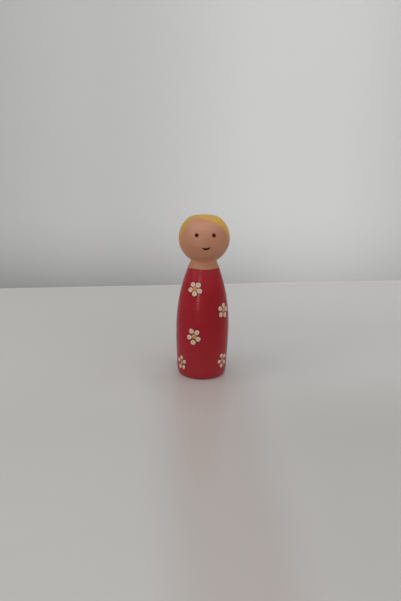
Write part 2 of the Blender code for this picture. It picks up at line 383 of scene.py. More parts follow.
def brushed(tree, place, look):
    return useGroup(tree, brushedPaint, Place=place, Colour=look["colour"], Thin_colour=look["thin"],
                    Deep_colour=look["deep"], Stroke_density=look["strokeDensity"],
                    Cloud_density=look["cloudDensity"], Thin_share=look["thinShare"],
                    Deep_share=look["deepShare"], Roughness=look["roughness"],
                    Roughness_spread=look["roughnessSpread"])


def coat(tree, shader, look, colour, roughness, height):
    feed(tree, shader, Base_Color=colour, Roughness=roughness, Specular_IOR_Level=look["gloss"],
         Normal=bumpFrom(tree, height, look["bump"]))


print("shader group made")


# Turned peg of bare wood, which shows under the base

pegSettings = {
    "steps": 120,
    "baseRise": 0.06 * mm,      # the base stands on the rim of paint around it
    "pith": (0.019, -0.008, 0),     # middle of the growth rings, outside the blank
    "ringWidth": 1.1 * mm,
    "ringRelief": 0.006 * mm,
    "baseRow": 0.4 * mm,
    "lightWood": (0.56, 0.37, 0.20, 1),
    "darkWood": (0.36, 0.20, 0.09, 1),
    "smudge": (0.20, 0.12, 0.07, 1),
    "grain": (1, 1, 0.05),      # how its marks are drawn out along the blank
    "wanderDensity": 160.0,
    "wanderShare": 0.9,
    "lateRange": (0.35, 0.97),
    "poreDensity": 5200.0,
    "poreRange": (0.58, 0.7),
    "poreShare": 0.35,
    "poreGrain": (1, 1, 0.04),
    "smudgeDensity": 190.0,
    "smudgeRange": (0.5, 0.75),
    "smudgeShare": 0.45,
    "ringBump": 0.4,
    "roughness": (0.7, 0.55),
    "bump": 0.03 * mm,
}


def makeWood():
    look = pegSettings
    material, tree, shader = newMaterial("bareWood", look["lightWood"])
    place = objectPlace(tree)
    shifted = addNode(tree, "ShaderNodeMapping")
    feed(tree, shifted, Vector=place, Location=tuple(-value for value in look["pith"]))
    flat = stretched(tree, shifted.outputs["Vector"], look["grain"])
    far = addNode(tree, "ShaderNodeVectorMath", operation='LENGTH')
    tree.links.new(flat, far.inputs[0])
    wander = times(tree, noiseOf(tree, flat, look["wanderDensity"], 3.0), look["wanderShare"])
    count = calc(tree, 'ADD', calc(tree, 'DIVIDE', far.outputs["Value"], look["ringWidth"]), wander)
    late = calc(tree, 'FRACT', count)        # each ring darkens towards its outer side
    rings = remap(tree, late, *look["lateRange"])
    pores = noiseOf(tree, stretched(tree, place, look["poreGrain"]), look["poreDensity"], 2.0)
    pores = remap(tree, pores, *look["poreRange"])
    smudges = remap(tree, noiseOf(tree, place, look["smudgeDensity"], 4.0), *look["smudgeRange"])
    smudges = times(tree, smudges, look["smudgeShare"])
    colour = layered(tree, look["lightWood"], (rings, look["darkWood"]),
                     (times(tree, pores, look["poreShare"]), look["smudge"]), (smudges, look["smudge"]))
    uneven = calc(tree, 'SUBTRACT', times(tree, rings, look["ringBump"]), pores)
    feed(tree, shader, Base_Color=colour, Roughness=remap(tree, late, 0, 1, *look["roughness"]),
         Normal=bumpFrom(tree, uneven, look["bump"]))
    return material


def makePeg():
    look = pegSettings
    foot = bodyLine[-1]
    rows = ceil(foot.x / look["baseRow"])
    base = [Vector((foot.x * (1 - row / rows), foot.y)) for row in range(1, rows + 1)]
    build = lathe(headLine + bodyLine[1:] + base, look["steps"])
    pith = Vector(look["pith"])
    for vert in build.verts:
        if vert.co.z < look["baseRise"]:
            ring = (vert.co - pith).length / look["ringWidth"] + noise.noise(vert.co / (4 * mm))
            vert.co.z = look["baseRise"] + look["ringRelief"] * sin(2 * pi * ring)
    finishPiece(build, "woodPeg", "wood_peg", makeWood())


makePeg()
print("peg turned")


# Skin coat over the head and the neck

skinSettings = {
    "steps": 144,
    "faceLift": 0.62 * mm,      # out from the wood on the head, where the coat is thick
    "underDress": 1.2 * mm,     # how far it runs on under the dress coat
    "thinned": 0.6,             # share of the coat that is missing there
    "fillet": 1.5 * mm,         # paint gathered in the crease under the head
    "inside": 0.05 * mm,
    "sunk": 0.12 * mm,          # how much lower it lies under the hair
    "hairMargin": radians(4),
    "strokeSize": 0.9 * mm,
    "strokeRelief": 0.006 * mm,
    "lumpSize": 6 * mm,
    "lumpRelief": 0.02 * mm,
    "colour": (0.334, 0.1315, 0.067, 1),
    "thin": (0.378, 0.157, 0.084, 1),
    "deep": (0.294, 0.107, 0.055, 1),
    "high": (0.386, 0.179, 0.097, 1),       # painted sheen, paler on the forehead
    # painted shading: the neck's colour is tuned to the light that falls there
    "neck": (0.328, 0.130, 0.059, 1),
    "crease": (0.48, 0.186, 0.098, 1),      # painted light, paler in the crease under the head
    "creaseReach": 2.2 * mm,
    "neckFade": (4 * mm, 6 * mm),       # above the neckline
    "highFade": (5 * mm, 12 * mm),      # above the middle of the head
    "highShare": 0.9,
    "creaseShare": 0.9,
    "strokeDensity": (130, 130, 900),
    "cloudDensity": 140.0,
    "thinShare": 0.45,
    "deepShare": 0.4,
    "roughness": 0.5,
    "roughnessSpread": 0.3,
    "bump": 0.02 * mm,
    "gloss": 0.6,
}
skinRadius = headRadius + skinSettings["faceLift"]


def foreheadSheenMask(tree, height):
    look = skinSettings
    return remap(tree, height, *(headMiddle.z + rise for rise in look["highFade"]), 0.0, look["highShare"])


def makeSkinPaint():
    look = skinSettings
    material, tree, shader = newMaterial("skinPaint", look["colour"])
    place = objectPlace(tree)
    paint = brushed(tree, place, look)
    apart = axesOf(tree, place)
    # painted shading on the neck, fading out above the neckline
    low = remap(tree, apart["Z"], *(neckline + rise for rise in look["neckFade"]), 1.0, 0.0)
    # painted sheen on the forehead
    high = foreheadSheenMask(tree, apart["Z"])
    # painted light along the crease under the head, to lift its shade
    away = calc(tree, 'ABSOLUTE', calc(tree, 'SUBTRACT', apart["Z"], headLine[-1].y))
    creaseLight = remap(tree, away, 0, look["creaseReach"], look["creaseShare"], 0.0)
    colour = layered(tree, paint["Colour"], (high, look["high"]), (low, look["neck"]),
                     (creaseLight, look["crease"]))
    coat(tree, shader, look, colour, paint["Roughness"], paint["Height"])
    return material


def skinLine():
    look = skinSettings
    neckRadius = bodyLine[0].x + coatLift
    corner = Vector((neckRadius, headMiddle.z - sqrt(skinRadius ** 2 - neckRadius ** 2)))
    head = [point for point in raised(headLine, look["faceLift"])
            if (point.y > headMiddle.z or point.x > neckRadius)
            and (point - corner).length > look["fillet"]]
    neck = []
    for point, wood in zip(raised(bodyLine, coatLift), bodyLine):
        if neckline - look["underDress"] < point.y < corner.y - look["fillet"]:
            dive = easeBetween(0, look["underDress"] / 2, neckline - point.y)
            neck.append(point.lerp(wood, dive * look["thinned"]))
    head[0].x = 0
    turn = interpolate_bezier(head[-1], corner, corner, neck[0], 13)
    below = [point for point in headLine + bodyLine[1:] if point.y > neck[-1].y]
    inside = raised(below, look["inside"])
    inside[0].x = 0
    return head + turn[1:-1] + neck + inside[::-1]


def headReach(way):
    # from the middle of the head to the wood
    return between(headTurns, headReaches, atan2(fromAxis(way), way.z))


def underHair(place):
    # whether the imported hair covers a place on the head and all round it
    way = (place - headMiddle).normalized()
    if (place - headMiddle).length < headReach(way) + skinSettings["faceLift"] / 2:
        return False
    aside = way.orthogonal().normalized()
    margin = skinSettings["hairMargin"]
    probes = (way * cos(margin) + Quaternion(way, turn * pi / 2) @ aside * sin(margin) for turn in range(4))
    return all(packedHair.ray_cast(headMiddle, probe)[0] for probe in probes)


def skinRelief(place):
    look = skinSettings
    around = aroundAxis(place) * 3
    strokes = noise.noise(Vector((around.x, around.y, place.z / look["strokeSize"])))
    lumps = noise.noise(place / look["lumpSize"])
    sunk = look["sunk"] if underHair(place) else 0
    return look["strokeRelief"] * strokes + look["lumpRelief"] * lumps - sunk


def makeSkin():
    build = lathe(skinLine(), skinSettings["steps"])
    emboss(build, skinRelief)
    bendNeckline(build)
    finishPiece(build, "skinCoat", "skin_coat", makeSkinPaint())


makeSkin()
print("skin coat laid")


# Hair: brushed from a whorl at the back of the crown, and feathered into the skin

hairSettings = {
    "whorl": (170, 44),         # azimuth and latitude, in degrees
    "steps": 480,
    "rows": 90,
    "insideRows": 12,
    "crowding": 1.5,            # rows draw together towards the edge
    "lift": 0.08 * mm,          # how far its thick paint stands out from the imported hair
    "sink": 0.2 * mm,           # underside, below the skin
    "taper": 1.6 * mm,          # width of the thin edge
    "overrun": 3.5,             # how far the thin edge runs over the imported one, in degrees
    "frontRun": 5.0,            # and how much farther above the forehead
    "sideFade": 0.55,           # how much sooner it fades at the sides of the head
    "feather": 1.3,             # how unevenly its strokes end, in degrees
    "fade": 4.2,                # width of the thin paint that lets the skin through, in mm
    "wisp": 1.3,                # how unevenly it fades, in mm
    "twist": 1.1,               # sweep of the strokes, in radians from whorl to edge
    "fringeRise": (0.3, 0.6),   # height of the edge on the head where the forehead starts
    "sideRise": (0.6, 0.15),    # and where the sides do
    "combedFrom": (0.02, 0.2),  # share of the way to the edge where the relief starts
    "edgeSink": 0.03 * mm,
    "lockCount": 9,
    "strandCount": 26,
    "lockRelief": 0.04 * mm,
    "strandRelief": 0.025 * mm,
    "colour": (0.482, 0.270, 0.029, 1),
    "thin": (0.522, 0.34, 0.054, 1),
    "deep": (0.38, 0.185, 0.028, 1),
    "low": (0.325, 0.175, 0.024, 1),         # painted shade, darker low on the head and on the doll's right
    "rich": (0.485, 0.268, 0.009, 1),        # thick on the doll's left
    "lowFade": (-4 * mm, 7 * mm),       # from the middle of the head
    "lowShare": 0.6,
    "rightFade": (-9 * mm, 0),
    "rightShare": 0.55,
    "richFade": (1 * mm, 6 * mm),
    "richShare": 0.7,
    "strokeDensity": (22, 22, 1.6),
    "wispDensity": (30, 30, 2),
    "cloudDensity": 2.2,
    "thinShare": 0.7,
    "deepShare": 0.5,
    "roughness": 0.45,
    "roughnessSpread": 0.3,
    "bump": 0.03 * mm,
    "gloss": 0.6,
    "searchFrom": radians(20),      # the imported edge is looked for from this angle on
    "searchSteps": 24,
}


def headDirection(azimuth, latitude):
    turn, lift = radians(azimuth), radians(latitude)
    return Vector((cos(lift) * sin(turn), -cos(lift) * cos(turn), sin(lift)))


def makeHairPaint():
    look = hairSettings
    material, tree, shader = newMaterial("hairPaint", look["colour"])
    strand = stored(tree, "strand")["Vector"]
    edge = stored(tree, "edge")["Fac"]
    paint = brushed(tree, strand, look)
    wisps = noiseOf(tree, stretched(tree, strand, look["wispDensity"]), 1.0, 2.0)
    ragged = calc(tree, 'ADD', edge, times(tree, wisps, look["wisp"]))
    bare = remap(tree, ragged, look["wisp"] / 2, look["wisp"] / 2 + look["fade"], 1.0, 0.0)
    apart = axesOf(tree, objectPlace(tree))
    # painted shade: darker low on the head and on the doll's right
    low = remap(tree, apart["Z"], *(headMiddle.z + rise for rise in look["lowFade"]), look["lowShare"], 0.0)
    high = foreheadSheenMask(tree, apart["Z"])
    side = remap(tree, apart["X"], *look["rightFade"], look["rightShare"], 0.0)
    thick = remap(tree, apart["X"], *look["richFade"], 0.0, look["richShare"])
    # the skin under the thin edge keeps its painted sheen on the forehead
    skin = layered(tree, skinSettings["colour"], (high, skinSettings["high"]))
    colour = layered(tree, paint["Colour"], (thick, look["rich"]),
                     (calc(tree, 'MAXIMUM', low, side), look["low"]), (bare, skin))
    coat(tree, shader, look, colour, paint["Roughness"], paint["Height"])
    return material


def fromWhorl(axes, bearing, angle):
    whorl, across, up = axes
    return whorl * cos(angle) + (across * sin(bearing) + up * cos(bearing)) * sin(angle)


def hairReach(axes, bearing):
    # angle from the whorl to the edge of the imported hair
    near, far = hairSettings["searchFrom"], pi
    for step in range(hairSettings["searchSteps"]):
        middle = (near + far) / 2
        if packedHair.ray_cast(headMiddle, fromWhorl(axes, bearing, middle))[0]:
            near = middle
        else:
            far = middle
    return near


def makeHair():
    look = hairSettings
    whorl = headDirection(*look["whorl"])
    across = Vector((0, 0, 1)).cross(-whorl).normalized()
    axes = whorl, across, across.cross(-whorl).normalized() * -1
    rows = [1 - (1 - row / look["rows"]) ** look["crowding"] for row in range(look["rows"] + 1)]
    inside = [row / look["insideRows"] for row in range(look["insideRows"] + 1)]
    profile = [(share, 1) for share in rows] + [(share, 0) for share in inside[::-1]]
    build = lathe(profile, look["steps"])
    strandLayer = build.verts.layers.float_vector.new("strand")
    edgeLayer = build.verts.layers.float.new("edge")
    reaches = {}
    for vert in build.verts:
        share = fromAxis(vert.co)
        bearing = atan2(vert.co.x, vert.co.y) if share > mergeGap else 0
        key = round(bearing, 4)
        if key not in reaches:
            packed = hairReach(axes, bearing)
            end = fromWhorl(axes, bearing, packed)
            fringe = easeBetween(*look["fringeRise"], end.z) * look["frontRun"]
            reaches[key] = packed + radians(look["overrun"] + fringe)
        flow = bearing - look["twist"] * share
        ring = Vector((cos(flow), sin(flow), 0))
        locks = noise.noise(ring * look["lockCount"] / 2 + Vector((0, 0, share * 1.5)))
        strands = noise.noise(ring * look["strandCount"] / 2 + Vector((5, 0, share * 3)))
        ragged = radians(look["feather"]) * (0.6 * locks + 0.8 * strands)
        angle = share * (reaches[key] + ragged)
        way = fromWhorl(axes, bearing, angle)
        toEdge = (1 - share) * reaches[key] * skinRadius
        cover = easeBetween(0, look["taper"], toEdge)
        skin = headReach(way) + skinSettings["faceLift"]
        film = hairLift + look["lift"] - skinSettings["faceLift"]
        combed = easeBetween(*look["combedFrom"], share)
        relief = combed * (look["lockRelief"] * (locks - 1) + look["strandRelief"] * (strands - 1)) / 2
        outside = skin + cover * (film + relief) - (1 - cover) * look["edgeSink"]
        radius = outside if vert.co.z > 0.5 else skin - look["sink"]
        vert.co = headMiddle + way * radius
        vert[strandLayer] = (ring.x, ring.y, share * 3)
        vert[edgeLayer] = toEdge / mm * (1 - look["sideFade"] * easeBetween(*look["sideRise"], way.z))
    finishPiece(build, "hairCoat", "hair_coat", makeHairPaint())


makeHair()
print("hair brushed on")


# Dress coat, brushed round the body over the marks of the lathe

dressSettings = {
    "steps": 180,
    "film": 0.1 * mm,           # raised edge along the neckline
    "edgeRound": 0.12 * mm,
    "beadWidth": 0.7 * mm,
    "lap": 0.9 * mm,            # paint carried under the base
    "lapUneven": 0.5 * mm,
    "wall": 0.3 * mm,
    "ridgePitch": 1.45 * mm,
    "ridgeRelief": 0.006 * mm,
    "rippleRelief": 0.05 * mm,          # a patch of ripples left by the brush
    "rippleHeight": 44.7 * mm,
    "rippleReach": 6 * mm,
    "rippleTurn": radians(-16),
    "rippleSpread": radians(26),
    "ridgeWander": 0.45 * mm,
    "strokeSize": 0.42 * mm,
    "strokeRelief": 0.002 * mm,
    "lumpSize": 7 * mm,
    "lumpRelief": 0.03 * mm,
    "colour": (0.228, 0.0058, 0.0110, 1),
    "thin": (0.287, 0.0070, 0.0130, 1),
    "deep": (0.192, 0.0040, 0.0080, 1),
    "low": (0.245, 0.0165, 0.0216, 1),      # painted sheen, paler and greyer towards the floor
    "high": (0.262, 0.008, 0.014, 1),       # and painted light, paler near the neckline
    "worn": (0.30, 0.07, 0.05, 1),
    "lowFade": (4 * mm, 30 * mm),           # above the floor
    "lowShare": 0.7,
    "highFade": (-16 * mm, -3 * mm),        # from the neckline
    "highShare": 0.7,
    "thickAcross": (-2 * mm, 6 * mm),       # painted shade, deeper on the doll's left, above the belly
    "thickUp": (24 * mm, 38 * mm),
    "thickShare": 0.5,
    "wearReach": 1.6 * mm,      # rubbed in patches along the foot
    "wearRange": (0.5, 0.66),
    "wearDensity": 900.0,
    "wearShare": 0.5,
    "wearDulling": 0.25,
    "strokeDensity": (150, 150, 1500),
    "cloudDensity": 110.0,
    "thinShare": 0.6,
    "deepShare": 0.5,
    "roughness": 0.20,
    "roughnessSpread": 0.3,
    "bump": 0.004 * mm,
    "gloss": 0.19,
}


def makeDressPaint():
    look = dressSettings
    material, tree, shader = newMaterial("dressPaint", look["colour"])
    place = objectPlace(tree)
    paint = brushed(tree, place, look)
    apart = axesOf(tree, place)
    patches = remap(tree, noiseOf(tree, place, look["wearDensity"], 4.0, 0.65), *look["wearRange"])
    wear = times(tree, remap(tree, apart["Z"], 0, look["wearReach"], look["wearShare"], 0.0), patches)
    # painted light: sheen low down, and paler near the neckline
    low = remap(tree, apart["Z"], *look["lowFade"], look["lowShare"], 0.0)
    high = remap(tree, apart["Z"], *(neckline + rise for rise in look["highFade"]), 0.0, look["highShare"])
    # painted shade on the doll's left, above the belly
    thick = times(tree, remap(tree, apart["X"], *look["thickAcross"], 0.0, look["thickShare"]),
                  remap(tree, apart["Z"], *look["thickUp"]))
    colour = layered(tree, paint["Colour"], (thick, look["deep"]), (low, look["low"]),
                     (high, look["high"]), (wear, look["worn"]))
    roughness = calc(tree, 'ADD', paint["Roughness"], times(tree, wear, look["wearDulling"]))
    coat(tree, shader, look, colour, roughness, paint["Height"])
    return material


def dressLine():
    look = dressSettings
    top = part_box("dress_coat")[1].z
    outer = []
    for point, wood in zip(raised(bodyLine, coatLift), bodyLine):
        if point.y < top:
            bead = look["film"] * (1 - easeBetween(0, look["beadWidth"], top - point.y))
            outer.append(point + (point - wood).normalized() * bead)
    return outer


def dressProfile():
    look = dressSettings
    outer = dressLine()
    start = outer[0]
    out = (outer[0] - outer[1]).normalized()
    side = Vector((out.y, -out.x))      # away from the body
    edge = []
    for step in range(5):
        angle = pi / 2 * step / 5
        edge.append(start + look["edgeRound"] * (out * cos(angle) - side * (1 - sin(angle))))
    foot = outer[-1]
    lap = [Vector((foot.x, 0)), Vector((foot.x - look["lap"], 0)),
           Vector((foot.x - look["lap"] - 0.05 * mm, pegSettings["baseRise"]))]
    inner = [point for point in raised(bodyLine, coatLift - look["wall"])
             if lap[-1].y + look["wall"] < point.y < edge[0].y - look["wall"]]
    return edge + outer[:-1] + lap + inner[::-6]


def dressRelief(place):
    look = dressSettings
    around = aroundAxis(place)
    wander = look["ridgeWander"] * noise.noise(around * 1.6 + Vector((0, 0, place.z / (9 * mm))))
    fade = 0.55 + 0.45 * noise.noise(around * 2.2 + Vector((7, 3, place.z / (6 * mm))))
    ridge = fade * cos(2 * pi * (place.z + wander) / look["ridgePitch"]) - 1
    ripple = 1 - easeBetween(0, look["rippleReach"], abs(place.z - look["rippleHeight"]))
    ripple *= 1 - easeBetween(0, look["rippleSpread"], abs(atan2(place.x, -place.y) - look["rippleTurn"]))
    ridgeRelief = look["ridgeRelief"] + look["rippleRelief"] * ripple
    strokes = noise.noise(Vector((around.x * 6, around.y * 6, place.z / look["strokeSize"])))
    lumps = noise.noise(place / look["lumpSize"]) - 0.5
    return ridgeRelief * ridge + look["strokeRelief"] * strokes + look["lumpRelief"] * lumps


def makeDress():
    look = dressSettings
    build = lathe(dressProfile(), look["steps"], closed=True)
    emboss(build, dressRelief)
    bendNeckline(build)
    for vert in build.verts:
        around = aroundAxis(vert.co)
        if vert.co.z < pegSettings["baseRise"]:
            vert.co.z = max(vert.co.z, 0)
            under = easeBetween(bodyLine[-1].x, bodyLine[-1].x - look["lap"], fromAxis(vert.co))
            vert.co -= around * under * look["lapUneven"] * noise.noise(around * 5)
    finishPiece(build, "dressCoat", "dress_coat", makeDressPaint())


makeDress()
print("dress coat laid")


# Dabs of paint: a profile spun round, made uneven, and laid on a curved surface

dabSettings = {
    "strokeDensity": (900, 900, 900),
    "thinShare": 0.5,
    "roughnessSpread": 0.25,
    "bump": 0.02 * mm,
    "coreFade": (0.25, 0.62),       # these as shares of the dab's radius
    "rimFade": (0.58, 0.88),
    "footFade": (0.98, 1.02),
}


def dabMesh(look, seed):
    # unit dab with its height as a share of its thickness, on a thin skirt
    top = smoothLine([Vector(point) for point in look["profile"]], look["rowSpacing"])
    top[0].x = 0
    sink, uneven, rim = look["sink"], look["uneven"], top[-1].x + look["skirt"]
    skirt = [Vector((rim, 0)), Vector((rim - 0.03, -sink)), Vector((0, -sink))]
    build = lathe(top + skirt, look["steps"])
    spreadLayer = build.verts.layers.float.new("spread")
    for vert in build.verts:
        spread = fromAxis(vert.co)
        vert[spreadLayer] = spread
        if spread > mergeGap:
            ring = Vector((vert.co.x, vert.co.y, 0)) / spread
            swell = 1 + uneven * noise.noise(ring * 0.9 + Vector((seed * 3.1, seed * 1.7, 0)))
            vert.co.x *= swell
            vert.co.y *= swell
        vert.co.z *= 1 + uneven * noise.noise(Vector((vert.co.x, vert.co.y, seed)) * 1.4)
    return build


def makeDabPaint(name, own):
    look = dabSettings | own
    material, tree, shader = newMaterial(name, look["colour"])
    spread = stored(tree, "spread")["Fac"]
    paint = brushed(tree, objectPlace(tree), look)
    tone = stored(tree, "tone")["Fac"]
    core = times(tree, remap(tree, spread, *look["coreFade"], 1.0, 0.0), look["coreShare"])
    rim = times(tree, remap(tree, spread, *look["rimFade"]), look["rimShare"])
    # on petals and centres the foot is a dark line of painted shadow
    foot = remap(tree, spread, *look["footFade"])
    colour = layered(tree, paint["Colour"], (tone, look["other"]), (core, look["core"]),
                     (rim, look["rim"]), (foot, look["foot"]))
    coat(tree, shader, look, colour, paint["Roughness"], paint["Height"])
    return material


# Face: two dabs for the eyes and one stroke for the smile

faceSettings = {
    "profile": ((0, 0.92), (0.3, 0.95), (0.6, 0.85), (0.85, 0.52), (1, 0)),
    "skirt": 0.01,
    "rowSpacing": 0.12,
    "steps": 48,
    "sink": 0.3,
    "uneven": 0.06,
    "eyeCrown": 0.28 * mm,
    "smileRound": 32,
    "smileRows": 48,
    "smileCrown": 0.22 * mm,
    "smileHalf": 0.62 * mm,     # half of the stroke's width
    "smileSag": 0.8,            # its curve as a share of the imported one's
    "colour": (0.036, 0.009, 0.001, 1),
    "thin": (0.046, 0.013, 0.002, 1),
    "deep": (0.016, 0.003, 0.001, 1),
    "rim": (0.06, 0.016, 0.006, 1),
    "rimShare": 0.3,
    "foot": (0.06, 0.016, 0.006, 1),
    "core": (0.016, 0.003, 0.001, 1),
    "coreShare": 0.5,
    "other": (0.026, 0.004, 0.001, 1),
    "gloss": 0.04,
    "deepShare": 0.5,
    "cloudDensity": 900.0,
    "roughness": 0.32,
}


def headAngles(place):
    out = place - headMiddle
    return atan2(out.x, -out.y), atan2(out.z, fromAxis(out))


def onHead(azimuth, latitude, lift):
    return headMiddle + headDirection(degrees(azimuth), degrees(latitude)) * (skinRadius + lift)


def makeEye(node, material, seed):
    look = faceSettings
    low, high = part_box(node)
    azimuth, latitude = headAngles((low + high) / 2)
    halfWidth = (high.x - low.x) / 2 / cos(azimuth)
    halfHeight = (high.z - low.z) / 2 / cos(latitude)
    build = dabMesh(look, seed)
    for vert in build.verts:
        right, rise = vert.co.x * halfWidth / skinRadius, vert.co.y * halfHeight / skinRadius
        vert.co = onHead(azimuth + right / cos(latitude), latitude + rise, vert.co.z * look["eyeCrown"])
    finishPiece(build, camelName(node), node, material)


def smilePath(node):
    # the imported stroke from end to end: first and last azimuth, and latitude as a curve between them
    angles = [headAngles(vert.co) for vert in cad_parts[node].data.vertices]
    first, last = min(angles)[0], max(angles)[0]

    def latitudeAt(azimuth):
        near = [angle[1] for angle in angles if abs(angle[0] - azimuth) < (last - first) / 8]
        return (min(near) + max(near)) / 2

    start, middle, end = latitudeAt(first), latitudeAt((first + last) / 2), latitudeAt(last)
    sag = faceSettings["smileSag"] * ((start + end) / 2 - middle)

    def pathAt(side):
        azimuth = (first + last + (last - first) * side) / 2
        return azimuth, middle + (end - start) / 2 * side + sag * side ** 2
    return pathAt


def makeSmile(material):
    look = faceSettings
    pathAt = smilePath("smile")
    build = bmesh.new()
    bmesh.ops.create_uvsphere(build, u_segments=look["smileRound"], v_segments=look["smileRows"], radius=1,
                              matrix=Matrix.Rotation(pi / 2, 4, 'Y'))
    spreadLayer = build.verts.layers.float.new("spread")
    for vert in build.verts:
        ring = hypot(vert.co.y, vert.co.z)
        vert[spreadLayer] = max(abs(vert.co.x) ** 6, abs(vert.co.y) / max(ring, mergeGap) * 0.9)
        azimuth, latitude = pathAt(vert.co.x)
        width = ring ** 0.4 * (0.98 - 0.06 * vert.co.x) * (0.7 + 0.3 * ring) if ring > mergeGap else 0
        width *= 1 + 0.12 * noise.noise(Vector((vert.co.x * 3, 0, 2)))
        side = vert.co.y / max(ring, mergeGap) * width * look["smileHalf"] / skinRadius
        lift = vert.co.z / max(ring, mergeGap) * width * look["smileCrown"]
        vert.co = onHead(azimuth, latitude + side, lift if lift > 0 else lift / 2)
    finishPiece(build, "smile", "smile", material)


facePaint = makeDabPaint("facePaint", faceSettings)
for number, eye in enumerate(("eye_left", "eye_right")):
    makeEye(eye, facePaint, number + 1)
makeSmile(facePaint)
print("face painted")


# Daisies: five white dabs round an orange one, each dried with a low middle

petalSettings = {
    "profile": ((0, 0.60), (0.2, 0.62), (0.42, 0.82), (0.64, 1.0), (0.83, 0.9), (0.95, 0.55), (1, 0.06)),
    "skirt": 0.22,              # width of the dark line round its foot, a painted shadow, as a share
    "rowSpacing": 0.07,
    "steps": 48,
    "sink": 0.25,
    "uneven": 0.10,
    "thickness": 0.55 * mm,
    "sizeSpread": (0.91, 0.97),
    "inner": 1.08,              # how much longer the half towards the middle is
    "drift": 0.1 * mm,
    "colour": (0.46, 0.325, 0.240, 1),
    "thin": (0.54, 0.385, 0.295, 1),
    "deep": (0.39, 0.285, 0.200, 1),
    # painted highlight: paler and pinker along the raised rim
    "rim": (0.66, 0.36, 0.30, 1),
    "rimShare": 0.8,
    # painted shadow: the dark line round the foot
    "foot": (0.05, 0.004, 0.004, 1),
    # painted shade in the low middle, which is also greener
    "core": (0.33, 0.295, 0.195, 1),
    "coreShare": 0.7,
    "other": (0.49, 0.315, 0.255, 1),       # on the daisies at the sides
    "deepShare": 0.5,
    "cloudDensity": 600.0,
    "roughness": 0.36,
    "gloss": 0.45,
}
centreSettings = {
    "profile": ((0, 1.0), (0.35, 0.97), (0.65, 0.8), (0.88, 0.45), (1, 0.06)),
    "skirt": 0.1,
    "rowSpacing": 0.08,
    "steps": 36,
    "sink": 0.3,
    "uneven": 0.12,
    "thickness": 0.68 * mm,
    "sizeSpread": (1.4, 1.5),
    "inner": 1.0,
    "drift": 0.06 * mm,
    "colour": (0.46, 0.155, 0.015, 1),
    "thin": (0.45, 0.20, 0.03, 1),
    "deep": (0.27, 0.19, 0.050, 1),
    "rim": (0.27, 0.16, 0.055, 1),
    "rimShare": 0.6,
    # painted shadow: the dark line round the foot
    "foot": (0.10, 0.02, 0.008, 1),
    "core": (0.46, 0.16, 0.018, 1),
    "coreShare": 0.3,
    "other": (0.30, 0.19, 0.085, 1),
    "deepShare": 0.8,
    "cloudDensity": 420.0,
    "roughness": 0.38,
    "gloss": 0.4,
}
daisyLooks = {      # share of the other colour, and width of the dabs
    "right_shoulder_daisy": (0.0, 1.0), "right_belly_daisy": (0.0, 1.0), "left_waist_daisy": (0.8, 0.84),
    "right_hem_daisy": (1.0, 0.84), "left_hem_daisy": (1.0, 0.88),
}
dressSurface = dressLine()
dressDepths = [-point.y for point in dressSurface]


def onDress(azimuth, height, lift):
    index = min(max(bisect_left(dressDepths, -height), 1), len(dressSurface) - 1)
    upper, lower = dressSurface[index - 1], dressSurface[index]
    run = upper - lower
    radius = lower.x + run.x * (height - lower.y) / run.y
    tilt = atan2(-run.x, run.y)
    flat = radius + cos(tilt) * lift
    return Vector((flat * sin(azimuth), -flat * cos(azimuth), height + sin(tilt) * lift)), radius, tilt


def dabPlace(node):
    low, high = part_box(node)
    middle = (low + high) / 2
    return atan2(middle.x, -middle.y), middle.z


def dabSize(node):
    azimuth = dabPlace(node)[0]
    across = Vector((cos(azimuth), sin(azimuth), 0))
    sides = [vert.co.dot(across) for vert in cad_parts[node].data.vertices]
    return max(sides) - min(sides)


def makeDab(node, look, material, bearing, tone, width):
    azimuth, height = dabPlace(node)
    radius, tilt = onDress(azimuth, height, 0)[1:]
    half = dabSize(node) / 2 * chance.uniform(*look["sizeSpread"])
    aside, rise = (chance.uniform(-1, 1) * look["drift"] for axis in range(2))
    build = dabMesh(look, chance.uniform(0, 50))
    toneLayer = build.verts.layers.float.new("tone")
    for vert in build.verts:
        vert[toneLayer] = tone
        outwards = vert.co.x * (look["inner"] if vert.co.x < 0 else 1)
        right = outwards * cos(bearing) - vert.co.y * sin(bearing)
        up = outwards * sin(bearing) + vert.co.y * cos(bearing)
        vert.co = onDress(azimuth + (right * half * width + aside) / radius,
                          height + (up * half + rise) * cos(tilt), vert.co.z * look["thickness"])[0]
    finishPiece(build, camelName(node), node, material)


petalPaint = makeDabPaint("petalPaint", petalSettings)
centrePaint = makeDabPaint("centrePaint", centreSettings)
chance = Random(7)
for centre in sorted(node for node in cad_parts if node.endswith("_centre")):
    middleTurn, middleHeight = dabPlace(centre)
    daisy = centre.removesuffix("_centre")
    tone, width = daisyLooks.get(daisy, (0.4, 1.0))
    makeDab(centre, centreSettings, centrePaint, 0, tone, width)
    for petal in sorted(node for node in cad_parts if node.startswith(daisy + "_petal_")):
        turn, height = dabPlace(petal)
        outwardBearing = atan2(height - middleHeight, (turn - middleTurn) * bellyRadius)
        makeDab(petal, petalSettings, petalPaint, outwardBearing, tone, width)
    print("daisy dabbed on:", daisy)


# Stage, light and camera

